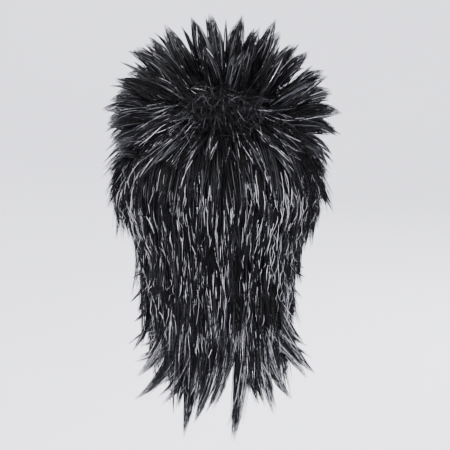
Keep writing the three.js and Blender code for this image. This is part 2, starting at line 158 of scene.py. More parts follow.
def new_material(name, **sockets):
    """A Principled material, with its even values set on the shader's own sockets."""
    made = bpy.data.materials.new(name)
    made.use_nodes = True
    shader = made.node_tree.nodes["Principled BSDF"]
    for socket, value in sockets.items():
        shader.inputs[socket.replace("_", " ")].default_value = value
    return made, made.node_tree, shader


def link(tree, shader, **outputs):
    """Links outputs into the shader's sockets."""
    for socket, output in outputs.items():
        tree.links.new(output, shader.inputs[socket.replace("_", " ")])


def add_node(tree, kind, links=(), **settings):
    """Adds a node, sets its properties and links (socket, output) pairs into it."""
    made = tree.nodes.new(kind)
    for key, value in settings.items():
        setattr(made, key, value)
    for socket, output in links:
        tree.links.new(output, made.inputs[socket])
    return made


def strand_place(tree):
    """The place on a strand: as a vector, and as its column and the way along it, from 0 to 1."""
    uv = add_node(tree, "ShaderNodeUVMap", uv_map=STRAND_MAP).outputs["UV"]
    split = add_node(tree, "ShaderNodeSeparateXYZ", [("Vector", uv)])
    return uv, split.outputs["X"], split.outputs["Y"]


def object_place(tree):
    """The place on a piece, in metres."""
    return add_node(tree, "ShaderNodeTexCoord").outputs["Object"]


print("strand map:", STRAND_MAP)

# %% [markdown]
# A colour ramp is the most useful of these nodes, because it turns any number into a range of tones. The others
# multiply two colours, spread a number over a range, stretch or turn a place, and make noise and fine relief.

# %% Pattern helpers
def ramp(tree, factor, *stops):
    """A colour ramp of stops, each a place with a grey or a colour."""
    made = add_node(tree, "ShaderNodeValToRGB", [("Fac", factor)])
    elements = made.color_ramp.elements
    while len(elements) < len(stops):
        elements.new(0.5)
    for element, (place, tone) in zip(elements, stops):
        element.position = place
        element.color = (*tone, 1) if isinstance(tone, tuple) else (tone, tone, tone, 1)
    return made.outputs["Color"]


def multiplied(tree, first, second):
    """One colour darkened by another."""
    made = add_node(
        tree, "ShaderNodeMixRGB", [("Color1", first), ("Color2", second)], blend_type="MULTIPLY"
    )
    made.inputs["Fac"].default_value = 1
    return made.outputs["Color"]


def spread(tree, number, low, high):
    """A number from 0 to 1, spread over low to high."""
    made = add_node(tree, "ShaderNodeMapRange", [("Value", number)])
    made.inputs["To Min"].default_value = low
    made.inputs["To Max"].default_value = high
    return made.outputs["Result"]


def mapped(tree, place, socket, value):
    """A place with the Scale or the Rotation of a Mapping node."""
    made = add_node(tree, "ShaderNodeMapping", [("Vector", place)])
    made.inputs[socket].default_value = value
    return made.outputs["Vector"]


def noise(tree, place, scale, **settings):
    """Soft noise from 0 to 1."""
    made = add_node(tree, "ShaderNodeTexNoise", [("Vector", place)], **settings)
    made.inputs["Scale"].default_value = scale
    return made.outputs["Fac"]


def relief(tree, height, strength, distance):
    """Fine relief in the shading, with its depth in metres."""
    made = add_node(tree, "ShaderNodeBump", [("Height", height)])
    made.inputs["Strength"].default_value = strength
    made.inputs["Distance"].default_value = distance
    return made.outputs["Normal"]


print("pattern helpers are ready")

# %% [markdown]
# Synthetic hair is a black plastic fibre: dark, fairly smooth, and never quite even, because each strand has a tone
# of its own. Most columns are nearly black, and the few at the end of the map are grey and smoother: their grey is
# painted sheen, for strands that catch the light. Roots lie in the shade of other hair, so each strand's colour is
# painted darker at its root than at its end, as painted shade. Blender has a hair shader too, but a plain one keeps
# its look in an export.

# %% Hair fibre
FIBRE_ROUGHNESS = (0.42, 0.26)  # of the darkest and of the lightest strands

hair_fibre, tree, shader = new_material("hair_fibre", Specular_IOR_Level=0.1)
_, column, along = strand_place(tree)
# the nearly black columns are the fibre's own tone, and the grey end of this ramp is painted sheen
fibre_tone_and_sheen = ramp(
    tree, column,
    (0, (0.0003, 0.0003, 0.0004)), (0.55, (0.0015, 0.0015, 0.0018)),
    (0.78, (0.012, 0.012, 0.015)), (0.92, (0.06, 0.06, 0.07)), (1, (0.24, 0.24, 0.26)),
)
# painted shade: the colour darkens towards the root, where other hair shades it
root_shade = ramp(tree, along, (0, 0.35), (0.45, 0.9), (1, 1.0))
link(
    tree, shader, Base_Color=multiplied(tree, fibre_tone_and_sheen, root_shade),
    Roughness=spread(tree, column, *FIBRE_ROUGHNESS),
)
print("hair_fibre:", len(tree.nodes), "nodes")

# %% [markdown]
# Tinsel is a plastic film with a coat of metal. A full metal would mirror the dark hair round it and go black, so
# it is only half metallic, and pale. Its flashes and fades along the strip are painted glints: noise that is long
# along the strip and changes from one strip to the next darkens parts of its colour, where creases would turn real
# film to and from the light.

# %% Silver tinsel
FOIL_ROUGHNESS = (0.42, 0.2)
GLINT_STRETCH = (40, 5, 1)  # how the noise is stretched: from strip to strip, and along a strip
GLINT_SCALE = 5

silver_tinsel, tree, shader = new_material("silver_tinsel", Metallic=0.5)
uv, column, _ = strand_place(tree)
foil = ramp(
    tree, column,
    (0, (0.6, 0.6, 0.64)), (0.45, (0.85, 0.85, 0.89)), (0.8, (1.0, 1.0, 1.0)), (1, (0.95, 0.84, 0.96)),
)
glint_noise = noise(tree, mapped(tree, uv, "Scale", GLINT_STRETCH), GLINT_SCALE, noise_dimensions="2D")
# painted glint: the noise darkens the foil's colour between its flashes
glint = ramp(tree, glint_noise, (0.36, 0.35), (0.56, 1.0))
link(
    tree, shader, Base_Color=multiplied(tree, foil, glint),
    Roughness=spread(tree, column, *FOIL_ROUGHNESS),
)
print("silver_tinsel:", len(tree.nodes), "nodes")

# %% [markdown]
# Behind the strands lies the dense mass of hair. It shows only in the gaps, as a dark bed with streaks along the
# fall of the hair, so its noise is stretched along the vertical.

# %% Dense hair
STREAKS = (900, 900, 40)  # in a metre, across the fall and along it

dense_hair, tree, shader = new_material("dense_hair", Specular_IOR_Level=0.03)
streaks = noise(tree, mapped(tree, object_place(tree), "Scale", STREAKS), 1)
link(
    tree, shader,
    Base_Color=ramp(tree, streaks, (0.35, (0.001, 0.001, 0.0013)), (0.7, (0.006, 0.006, 0.007))),
    Roughness=spread(tree, streaks, 0.65, 0.45),
    Normal=relief(tree, streaks, 0.6, 0.0006),
)
print("dense_hair:", len(tree.nodes), "nodes")

# %% [markdown]
# The cap is black stretch net. Two sets of fine slanting threads make its meshes, and a broad noise keeps the
# cloth from looking printed. Real threads would need millions of faces for a piece that hardly shows.

# %% Cap net
THREAD_SLANTS = (45, -45)
THREAD_SCALE = 160
CLOUD_SCALE = 45

cap_net, tree, shader = new_material("cap_net", Specular_IOR_Level=0.2)
place = object_place(tree)
threads = []
for slant in map(math.radians, THREAD_SLANTS):
    turned = mapped(tree, place, "Rotation", (0, slant, slant))
    thread = add_node(tree, "ShaderNodeTexWave", [("Vector", turned)])
    thread.inputs["Scale"].default_value = THREAD_SCALE
    threads.append(thread.outputs["Fac"])
net = add_node(tree, "ShaderNodeMath", list(enumerate(threads)), operation="MAXIMUM").outputs[0]
cloudy = noise(tree, place, CLOUD_SCALE)
worn = add_node(tree, "ShaderNodeMath", [(0, net), (1, cloudy)], operation="MULTIPLY").outputs[0]
link(
    tree, shader,
    Base_Color=ramp(tree, worn, (0.1, (0.006, 0.006, 0.007)), (0.6, (0.035, 0.035, 0.040))),
    Roughness=spread(tree, worn, 0.9, 0.65),
    Normal=relief(tree, net, 0.5, 0.0005),
)
for slot in nodes["cap"].material_slots:
    slot.material = cap_net
print("cap_net:", len(tree.nodes), "nodes")

# %% [markdown]
# The studio paper is plain. A very broad and faint noise is enough to keep it from looking like a flat colour.

# %% Studio paper
TOOTH_SCALE = 1.2

studio_paper, tree, shader = new_material("studio_paper", Roughness=0.85)
tooth = noise(tree, object_place(tree), TOOTH_SCALE)
link(tree, shader, Base_Color=ramp(tree, tooth, (0.3, (0.88, 0.88, 0.93)), (0.7, (0.92, 0.92, 0.96))))
studio_floor.data.materials.append(studio_paper)
print("materials:", len(bpy.data.materials))

# %% [markdown]
# ## The head and the fall of the hair
# Every lock starts from the same two surfaces as the solids do: the head above its widest level and the fall of
# the hair below it. The places could be read from the solids' faces, but two formulas are smooth, and they take
# whole arrays of points at once, which keeps thousands of strands quick to place.

# %% Surfaces that the hair follows
HEAD_WIDTH, HEAD_LENGTH = 0.150, 0.190
CROWN_HEIGHT, NAPE_HEIGHT = 0.098, 0.070
NAPE_TUCK, NECK_TUCK = 0.3, 0.15
BACK_LENGTH = 0.305
# shares of BACK_LENGTH, and there the shares of the head's half width and half length
FALL_DROPS = [0.32, 0.36, 0.42, 0.475, 0.55, 0.7, 0.85, 1.0]
FALL_HALVES = [1.0, 0.97, 0.86, 0.77, 0.73, 0.72, 0.73, 0.78]
FALL_BACKS = [1.0, 0.99, 0.98, 0.96, 0.94, 0.92, 0.92, 0.95]


def unit(vectors):
    """Vectors with a length of one."""
    return vectors / np.maximum(np.linalg.norm(vectors, axis=-1, keepdims=True), 1e-12)


def head_point(way, offset):
    """Points on the head in directions from its middle, moved outwards by offset."""
    x, y, z = np.moveaxis(np.asarray(way, float), -1, 0)
    height = np.where(z > 0, CROWN_HEIGHT, NAPE_HEIGHT)
    low = np.minimum(z, 0)
    tuck = np.where(y > 0, 1 + NAPE_TUCK * low, 1)
    return np.stack(
        [
            (HEAD_WIDTH / 2 + offset) * x * (1 + NECK_TUCK * low),
            (HEAD_LENGTH / 2 + offset) * y * tuck,
            (height + offset) * z - CROWN_HEIGHT,
        ],
        -1,
    )


def hair_point(bearing, drop, offset):
    """Points of the hair at bearings in degrees (0 is the forehead, 180 the back) and drops below the top."""
    turn = np.radians(bearing)
    level = 1 - np.minimum(drop, CROWN_HEIGHT) / CROWN_HEIGHT
    flat = np.sqrt(1 - level**2)
    on_head = head_point(np.stack([flat * np.sin(turn), -flat * np.cos(turn), level], -1), offset)
    half = HEAD_WIDTH / 2 * np.interp(drop / BACK_LENGTH, FALL_DROPS, FALL_HALVES) + offset
    deep = HEAD_LENGTH / 2 * np.interp(drop / BACK_LENGTH, FALL_DROPS, FALL_BACKS) + offset
    hanging = np.stack([half * np.sin(turn), -deep * np.cos(turn), -drop + 0 * turn], -1)
    return np.where((drop < CROWN_HEIGHT)[..., None], on_head, hanging)


print("waist of the fall in mm:", round(1000 * HEAD_WIDTH * min(FALL_HALVES)))

# %% [markdown]
# ## Guides
# A stylist combs hair into locks, and a lock can be described by one line, its width and the direction that it is
# widest in. Here that is a guide: 24 stations along the lock. The guides repeat the locks of the solids and add
# smaller ones between them. Blender's own hair curves could grow from the same lines, but strands made as plain
# meshes look the same everywhere and need no particle settings.

# %% Guides
STATIONS = np.linspace(0, 1, 24)
LOCK_WIDTH = 0.016
LOCK_PROFILE = 0.72 + 0.9 * STATIONS - 1.62 * STATIONS**2  # full at first, and shut at the tip


def guide(points, width, broad):
    """A lock's middle line with the two directions across it and its half widths."""
    tangent = unit(np.gradient(points, axis=0))
    side = unit(broad - (tangent @ broad)[:, None] * tangent)
    return {
        "points": points,
        "tangent": tangent,
        "side": side,
        "normal": np.cross(side, tangent),
        "radius": width / 2 * LOCK_PROFILE,
        "width": width,
    }


def vary(index, kind):
    """A fixed number between -1 and 1 for each pair of whole numbers, the same as in the solids."""
    wave = math.sin(index * 12.9898 + kind * 78.233) * 43758.5453
    return 2 * (wave - math.floor(wave)) - 1


def across(i, count):
    """The share at place i of a row of count, from -1 to 1."""
    return 2 * i / (count - 1) - 1


print("stations of a guide:", len(STATIONS))

# %% [markdown]
# Teased hair leaves the head in every direction from the whorl, the point that it grows round. A spike is a curve
# with three handles: where it starts on the dense hair, a middle that bows upwards, and a tip on a ball round the
# crown. A clock reading says where the tip lies as seen from behind, and a tilt how far it leans back or forward.

# %% Spikes of the crown
WHORL = np.array([-0.07, 0.62, 0.78])
TEASED_THICKNESS = 0.015
SPIKE_RADIUS, SPIKE_DEPTH, BALL_DROP, SPIKE_BOW = 0.112, 0.124, 0.045, 0.014
SPIKE_SCATTER = 0.08  # how unevenly spikes start and end
ROOT_DEPTH = 0.8  # share of the teased hair that lies under a spike's root


def bezier(root, bend, tip):
    """Points along a curve that leaves root towards bend and ends at tip."""
    t = STATIONS[:, None]
    return (1 - t) ** 2 * root + 2 * t * (1 - t) * bend + t**2 * tip


def spike(clock, tilt, reach, width, start, index, bow=SPIKE_BOW):
    """A spike that starts part of the way from the whorl and bows up and out to a point on the ball of tips."""
    c, t = math.radians(clock), math.radians(tilt)
    way = np.array([-math.sin(c), math.cos(c) * math.sin(t), math.cos(c) * math.cos(t)])
    up = unit(WHORL + (start + SPIKE_SCATTER * vary(index, 1)) * (way - WHORL))
    root = head_point(up, ROOT_DEPTH * TEASED_THICKNESS)
    tip = np.array([
        reach * SPIKE_RADIUS * way[0],
        SPIKE_DEPTH * (reach * way[1] + SPIKE_SCATTER * vary(index, 2)),
        reach * SPIKE_RADIUS * way[2] - BALL_DROP,
    ])
    broad = unit(np.cross(way, [0.3 * vary(index, 3), 1, 0.1]))
    return guide(bezier(root, (root + tip) / 2 + bow * up, tip), LOCK_WIDTH * width, broad)


# clock in degrees, reach and width of the spikes that make the outline
OUTLINE_SPIKES = [
    (-95, 0.885, 1.0), (-87, 0.905, 1.2), (-77, 0.93, 1.2), (-61, 0.96, 1.2), (-46, 1.02, 1.1),
    (-37, 0.99, 0.9), (-26, 0.97, 1.1), (-11, 1.0, 1.2), (-3, 1.0, 0.9), (9, 1.02, 1.1), (19, 0.94, 1.0),
    (28, 1.03, 1.2), (39, 0.98, 0.9), (48, 1.01, 1.0), (58, 1.02, 1.1), (68, 1.01, 1.1), (78, 1.02, 1.1),
    (89, 0.98, 1.0),
]
# tilt and spread in degrees, number, reach and start of the fans of spikes before and behind them
SPIKE_FANS = [(-84, 54, 7, 0.9, 0.66), (-60, 60, 8, 0.94, 0.56), (-32, 68, 10, 0.97, 0.5), (30, 80, 8, 0.9, 0.42)]
FRONT_TILT = -50  # spikes that lean further lie flat over the forehead
FRONT_WIDTH, FAN_WIDTH, FRONT_START, FRONT_BOW = 0.8, 1.2, 0.75, 0.002

crown_guides = [
    spike(clock, 6 + 8 * vary(i, 5), reach, width, 0.5, i)
    for i, (clock, reach, width) in enumerate(OUTLINE_SPIKES)
]
for fan, (tilt, half_spread, count, reach, start) in enumerate(SPIKE_FANS):
    front = tilt < FRONT_TILT
    for i in range(count):
        index = 100 * (fan + 1) + i
        crown_guides.append(spike(
            half_spread * across(i, count) + 5 * vary(index, 6), tilt, reach + 0.06 * vary(index, 7),
            FRONT_WIDTH if front else FAN_WIDTH, FRONT_START * start if front else start, index,
            FRONT_BOW if front else SPIKE_BOW,
        ))
print("spikes of the solids:", len(crown_guides))

# %% [markdown]
# Below the crown the hair is cut in layers. A lock of a layer lies along the hair under it, and leaves it ever
# faster towards its tip, which gives the layers their feathered lower edges. The rows say where each layer's locks
# start and end, as shares of the layer's own length and thickness.

# %% Hanging locks
HAIR_START = 0.00235  # off the head, where the hair begins
LIFT_POWER = 1.6  # how late a lock leaves the hair under it


def hanging(bearing, root, tip, sunk, stand, sweep, width):
    """A lock that lies along the hair from one drop to another and leaves the rest ever faster."""
    offset = HAIR_START + sunk + (stand - sunk) * STATIONS**LIFT_POWER
    points = hair_point(bearing + sweep * STATIONS, root + (tip - root) * STATIONS, offset)
    turn = math.radians(bearing)
    return guide(points, width, np.array([math.cos(turn), math.sin(turn), 0]))


def lock_rows(rows, unit_drop, depth, seed, width, sign=1):
    """Rows of hanging locks, with each lock a little different."""
    made = []
    for level, (first, last, count, root, tip, sunk, stand) in enumerate(rows):
        for i in range(count):
            index = seed + 20 * level + i
            bearing = sign * (first + (last - first) * (across(i, count) + 1) / 2)
            made.append(hanging(
                bearing, root * unit_drop, unit_drop * (tip + 0.05 * vary(index, 1)), sunk * depth,
                depth * (stand + 0.18 * vary(index, 2)), 5 * vary(index, 3),
                LOCK_WIDTH * width * (1 + 0.2 * vary(index, 4)),
            ))
    return made


print("hair starts off the head in mm:", 1000 * HAIR_START)

# %% [markdown]
# The side layers hang over the ears, with two smaller locks in front of each ear. The upper back layer falls from
# under the whorl over the longest hair, and the fringe is one short row over the forehead.

# %% Guides of the layers
NAPE_THICKNESS, UPPER_THICKNESS, SIDE_THICKNESS, FRINGE_THICKNESS = 0.009, 0.006, 0.012, 0.011
SIDE_DROP, UPPER_DROP, FRINGE_ROOT, FRINGE_DROP = 0.112, 0.184, 0.056, 0.104
UPPER_DEPTH = NAPE_THICKNESS + UPPER_THICKNESS + 0.00035  # the last is the gap between two solids
# first and last bearing, number, root and tip in shares of the drop, sunk and stand in shares of the depth
SIDE_ROWS = [
    (60, 106, 5, 0.42, 0.8, 0.58, 2.17), (52, 106, 5, 0.52, 0.98, 0.5, 2.0), (48, 106, 5, 0.64, 1.18, 0.42, 1.58),
]
UPPER_ROWS = [
    (112, 248, 8, 0.18, 0.6, 0.39, 1.69), (112, 248, 8, 0.35, 0.78, 0.49, 1.56),
    (118, 242, 8, 0.55, 1.0, 0.81, 1.24), (112, 248, 9, 0.8, 1.24, 0.75, 1.04),
]
FRINGE_LOCKS = 9

side_guides = {}
for name, sign, seed in (("side_left", 1, 500), ("side_right", -1, 600)):
    side_guides[name] = lock_rows(SIDE_ROWS, SIDE_DROP, SIDE_THICKNESS, seed, 1.2, sign)
    side_guides[name] += [
        hanging(
            sign * (44 + 12 * (i + 1.2)), 0.72 * SIDE_DROP, 0.150 - 0.012 * i, 0.42 * SIDE_THICKNESS,
            (0.17 + 0.33 * i) * SIDE_THICKNESS, sign * 5, LOCK_WIDTH,
        )
        for i in range(2)
    ]
upper_guides = lock_rows(UPPER_ROWS, UPPER_DROP, UPPER_DEPTH, 700, 1.15)
fringe_guides = [
    hanging(
        40 * across(i, FRINGE_LOCKS), FRINGE_ROOT, FRINGE_DROP * (1 + 0.09 * vary(i, 8)), 0.27 * FRINGE_THICKNESS,
        FRINGE_THICKNESS * (1 + 0.36 * vary(i, 9)), 5 * vary(i, 10), 1.1 * LOCK_WIDTH,
    )
    for i in range(FRINGE_LOCKS)
]
print("locks at the sides, the back and the fringe:", len(side_guides["side_left"]), len(upper_guides), FRINGE_LOCKS)

# %% [markdown]
# The longest hair is sewn round the nape and ends in separate locks that flick to both sides. Each has its own row
# here: where its tip lies, where it parts from the rest, and how far in it starts. A smooth line through four
# points gives it its sweep. Wisps are thinner and shorter copies, each moved a little by chance.

# %% Guides of the longest locks
# side and drop of the tip, where the lock parts from the rest, how far in it starts, width
NAPE_LOCKS = [
    (0.98, 0.66, 0.5, -0.05, 0.8), (1.04, 0.78, 0.6, -0.15, 0.8), (0.98, 0.85, 0.66, -0.35, 1.1),
    (0.99, 0.92, 0.7, -0.5, 0.9), (0.7, 0.9, 0.7, -0.42, 0.8), (0.5, 0.92, 0.72, 0.02, 0.7),
    (0.4, 0.99, 0.7, -0.04, 1.2), (0.28, 0.95, 0.7, -0.22, 1.1), (0.1, 0.93, 0.7, -0.3, 0.9),
    (-0.18, 1.0, 0.72, -0.18, 1.1), (-0.36, 0.87, 0.68, -0.1, 0.9), (-0.52, 0.91, 0.7, 0.07, 0.9),
    (-0.67, 0.94, 0.72, 0.06, 0.8), (-0.87, 0.91, 0.7, 0.24, 0.9), (-1.1, 0.86, 0.66, 0.36, 1.1),
    (-1.0, 0.755, 0.6, 0.22, 0.9), (-0.94, 0.65, 0.5, 0.05, 0.8),
]
NAPE_LOCK_DEPTH = 0.55  # how deep in the nape section a lock runs
WIDEST_HANG = 0.93  # no lock hangs further round than this share of the half width
PART_RISE = 0.35  # a lock starts this far above its parting, in shares of its free length
BEND_PLACE, BEND_PULL = 0.55, 0.35  # where the third point lies, and how far the tip draws it aside
WISPS_PER_LOCK = 3


def through(points):
    """Stations along a smooth line through four points."""
    knots = np.linspace(0, 1, 4)
    line = np.zeros((len(STATIONS), 3))
    for i, point in enumerate(points):
        others = [k for j, k in enumerate(knots) if j != i]
        weight = np.prod([(STATIONS - k) / (knots[i] - k) for k in others], axis=0)
        line += weight[:, None] * point
    return line


def nape_lock(side, drop, part, sway, width, index):
    """One of the longest locks, which runs down the fall and sweeps from where it starts to the place of its tip."""
    depth = HAIR_START + NAPE_LOCK_DEPTH * NAPE_THICKNESS
    free = drop - part

    def at(way, share, offset):
        """The point of the fall at a share of the sweep and of the length."""
        hung = max(-WIDEST_HANG, min(WIDEST_HANG, side + sway * (1 - way)))
        bearing = 180 - math.degrees(math.asin(hung))
        return hair_point(np.array(bearing), np.array(share * BACK_LENGTH), offset)

    tip = at(1, drop, depth + NAPE_THICKNESS * (0.55 + 0.65 * vary(index, 4)))
    tip[0] = side * HEAD_WIDTH / 2
    points = [
        at(0, part - PART_RISE * free, depth),
        at(0, part, depth),
        at(BEND_PLACE**LIFT_POWER, part + BEND_PLACE * free, depth),
    ]
    points[2][0] += BEND_PULL * (tip[0] - at(1, drop, depth)[0])
    broad = points[1] * np.array([1, 1, 0])
    return guide(through([*points, tip]), LOCK_WIDTH * width, unit(np.array([broad[1], -broad[0], 0])))


nape_guides = [nape_lock(*row, i) for i, row in enumerate(NAPE_LOCKS)]
rng = np.random.default_rng(5)
wisp_guides = [
    nape_lock(
        side + rng.uniform(-0.13, 0.13), drop - rng.uniform(0, 0.13), part, sway + rng.uniform(-0.2, 0.2),
        rng.uniform(0.25, 0.5), i,
    )
    for i, (side, drop, part, sway, _) in enumerate(WISPS_PER_LOCK * NAPE_LOCKS)
]
print("longest locks and wisps:", len(nape_guides), len(wisp_guides))

# %% [markdown]
# ## Strands
# One strand is a thin needle with three sides: a few rings along its line, closed at the root and pointed at the
# tip. Thousands of them are joined in one mesh from arrays, because a modifier or an operator for each would take
# minutes. Each corner also gets its place on the strand map here.

# %% Needles
NEEDLE_SIDES = 3
FACET_SHIFT = 0.002  # between the sides of a needle, on the strand map


def needle_faces(rings):
    """The triangles of one needle, and for each of their corners the column shift and the place along it."""
    faces, maps = [], []

    def add(*corners):
        """Adds a triangle of corners, each a ring and a side."""
        faces.append([
            ring * NEEDLE_SIDES + k % NEEDLE_SIDES if ring < rings else rings * NEEDLE_SIDES for ring, k in corners
        ])
        maps.append([(FACET_SHIFT * k, ring / rings) for ring, k in corners])

    for ring in range(rings - 1):
        for k in range(NEEDLE_SIDES):
            add((ring, k), (ring, k + 1), (ring + 1, k + 1))
            add((ring, k), (ring + 1, k + 1), (ring + 1, k))
    add((0, 0), (0, 2), (0, 1))
    for k in range(NEEDLE_SIDES):
        add((rings - 1, k), (rings - 1, k + 1), (rings, k))
    return np.array(faces), np.array(maps)


print("triangles of a strand with four rings:", len(needle_faces(4)[0]))

# %% [markdown]
# A needle's cross-section turns with its line: round for hair, flat and twisted for tinsel. The points of all the
# needles of a piece are worked out together, and the mesh takes them in one call for each kind of data.

# %% Strand meshes
WIDTH_PLACES, WIDTH_SHARES = [0, 0.25, 0.7, 1], [0.7, 1.0, 0.85, 0.3]
COLUMN_START, COLUMN_SPAN = 0.004, 0.985  # the columns keep clear of the map's edges


def needle_points(rng, lines, width, flat, twist):
    """The points of needles along lines: rings of three, and the tip."""
    count, rings = len(lines), lines.shape[1] - 1
    tangent = unit(np.gradient(lines, axis=1))
    side = unit(np.cross(unit(rng.normal(size=(count, 1, 3))), tangent))
    normal = np.cross(tangent, side)
    along = np.arange(rings) / rings
    half = width[:, None] / 2 * np.interp(along, WIDTH_PLACES, WIDTH_SHARES)
    turn = math.tau * np.arange(NEEDLE_SIDES) / NEEDLE_SIDES
    turn = turn[None, None] + (twist * rng.uniform(-1, 1, (count, 1, 1))) * along[None, :, None]
    out = np.cos(turn)[..., None] * side[:, :-1, None] + flat * np.sin(turn)[..., None] * normal[:, :-1, None]
    rim = lines[:, :-1, None] + half[:, :, None, None] * out
    return np.concatenate([rim.reshape(count, -1, 3), lines[:, -1:]], axis=1)


def strand_piece(name, lines, width, column, material, seed, flat=1.0, twist=0.0):
    """Joined needles along lines, an array of strand, station and place. Columns set each strand's tone."""
    points = needle_points(np.random.default_rng(seed), lines, width, flat, twist)
    template, maps = needle_faces(lines.shape[1] - 1)
    faces = template[None] + (np.arange(len(lines)) * points.shape[1])[:, None, None]
    uv = np.broadcast_to(maps[None], (len(lines), *maps.shape)).copy()
    uv[..., 0] += COLUMN_START + COLUMN_SPAN * column[:, None, None]

    mesh = bpy.data.meshes.new(name)
    mesh.vertices.add(points.shape[0] * points.shape[1])
    mesh.vertices.foreach_set("co", points.astype(np.float32).ravel())
    mesh.loops.add(faces.size)
    mesh.loops.foreach_set("vertex_index", faces.astype(np.int32).ravel())
    mesh.polygons.add(faces.size // 3)
    mesh.polygons.foreach_set("loop_start", np.arange(0, faces.size, 3, dtype=np.int32))
    mesh.polygons.foreach_set("use_smooth", np.ones(faces.size // 3, bool))
    mesh.uv_layers.new(name=STRAND_MAP)
    mesh.uv_layers[STRAND_MAP].uv.foreach_set("vector", uv.astype(np.float32).ravel())
    mesh.update(calc_edges=True)
    mesh.materials.append(material)
    made = bpy.data.objects.new(name, mesh)
    bpy.context.collection.objects.link(made)
    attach(made, "root")
    print(f"{name}: {len(lines)} strands, {faces.size // 3} triangles")


# %% [markdown]
# Within a lock the strands don't lie evenly. They gather into a few finer points, and each ends at its own length,
# so that the tips look feathered. A strand therefore has a place round the lock's middle line, a lean that it
# shares with its clump, and a little that is its own.

# %% Strand lines
LOCK_FLATNESS = 0.5
STRAND_ENDS = (0.84, 1.02)  # where strands end, in shares of their clump's length
STRAND_DEPTHS = (0.6, 1.12)  # how far out strands lie, in half widths of the lock
SHORTEST_STRAND = 0.25
TIP_CLOSING = 0.65  # how much of the narrowing follows the strand's own end, and not the lock's
SPLAY_POWER = 1.4  # how late the clumps part


def along_lock(lock, key, along):
    """A lock's points or directions at places along it."""
    return np.stack([np.interp(along, STATIONS, lock[key][:, i]) for i in range(3)], -1)


def lock_lines(
    rng, lock, count, rings=4, clumps=4, fray=0.45, start=(0.0, 0.5), short=0.3, loose=0.1, weave=0.0
):
    """The lines of the strands in one lock. fray is how far its finer points part, in half widths, and short is
    how much sooner the shortest of them ends. loose is how far single strands stray, and weave how far they dip
    in and out."""
    clump = rng.integers(clumps, size=count)
    lean = rng.normal(size=(clumps, 2)) * fray * lock["width"] / 2
    reach = 1 - short * rng.random(clumps) ** 1.5
    reach[0] = 1
    first = rng.uniform(*start, count)
    last = np.maximum(reach[clump] * rng.uniform(*STRAND_ENDS, count), first + SHORTEST_STRAND)
    along = first[:, None] + (last - first)[:, None] * np.linspace(0, 1, rings + 1)
    angle = rng.uniform(0, math.tau, count)
    depth = rng.uniform(*STRAND_DEPTHS, count)
    shut = along / last[:, None]
    radius = np.interp((1 - TIP_CLOSING) * along + TIP_CLOSING * shut, STATIONS, lock["radius"])
    radius = np.maximum(radius, 0)
    stray = rng.normal(size=(count, 2)) * loose * lock["width"] / 2
    out = [np.cos(angle) * depth, LOCK_FLATNESS * np.sin(angle) * depth]
    turns = rng.uniform(0.6, 1.6, count)[:, None]
    wave = weave * np.sin(math.tau * (turns * along + rng.random(count)[:, None]))
    beyond = np.maximum(along - 1, 0) * np.linalg.norm(lock["points"][-1] - lock["points"][0])
    line = along_lock(lock, "points", along) + beyond[..., None] * lock["tangent"][-1]
    for axis, key in enumerate(("side", "normal")):
        amount = radius * out[axis][:, None] + (lean[clump, axis] + stray[:, axis])[:, None] * shut**SPLAY_POWER
        line += (amount + axis * wave)[..., None] * along_lock(lock, key, along)
    return line


print("strands lie at shares of the lock's half width:", STRAND_DEPTHS)

# %% [markdown]
# A piece of hair is then many locks with one recipe. Each lock gets a tone of its own within a range, which keeps
# neighbours apart to the eye, and a small share of the strands comes from the grey end of the strand map, which is
# painted sheen.

# %% Pieces of hair
FIBRE_WIDTH = 0.00055
TONE_SCATTER, DARKEST, LIGHTEST = 0.25, 0, 0.93
SHEEN_COLUMNS = (0.93, 0.98)


def piece_lines(seed, guides, count, tones=(0.15, 0.6), **options):
    """The lines of all the strands in some locks, and their columns. Each lock is a little darker or lighter."""
    rng = np.random.default_rng(seed)
    lines, columns = [], []
    for lock in guides:
        number = int(count * lock["width"] / LOCK_WIDTH + rng.random())
        lines.append(lock_lines(rng, lock, number, **options))
        column = rng.uniform(*tones) + rng.normal(0, TONE_SCATTER, number)
        columns.append(np.clip(column, DARKEST, LIGHTEST))
    return np.concatenate(lines), np.concatenate(columns)


def hair_piece(name, seed, guides, count, light=0.0, **options):
    """A piece of black strands. light is the share of them given the grey columns of painted sheen."""
    lines, column = piece_lines(seed, guides, count, **options)
    rng = np.random.default_rng(seed + 1)
    widths = FIBRE_WIDTH * rng.uniform(0.6, 1.25, len(lines))
    # these strands get the grey columns: painted sheen in their colour
    painted_sheen = rng.random(len(lines)) < light
    column = np.where(painted_sheen, rng.uniform(*SHEEN_COLUMNS, len(lines)), column)
    strand_piece(name, lines, widths, column, hair_fibre, seed + 2)


print("fibre width in mm:", 1000 * FIBRE_WIDTH)

# %% [markdown]
# ## The dense hair under the strands
# Each section of the wig is a solid in the frame. A copy of it, with its facets smoothed and its locks drawn in,
# becomes the dark bed under the strands and stands for the solid. Smoothing pulls thin locks inwards much more
# than the thick mass, which is what is wanted here: the strands then give the locks back their width.

# %% Dense beds
SMOOTHING = {
    "crown_spikes": 9, "side_left": 4, "side_right": 4, "fringe": 4, "upper_back_layer": 4, "nape_lengths": 4,
}
LONG_EDGE = 0.010
BED_MERGE = 2e-6  # the solids' triangles are loose, and their corners meet closer than this

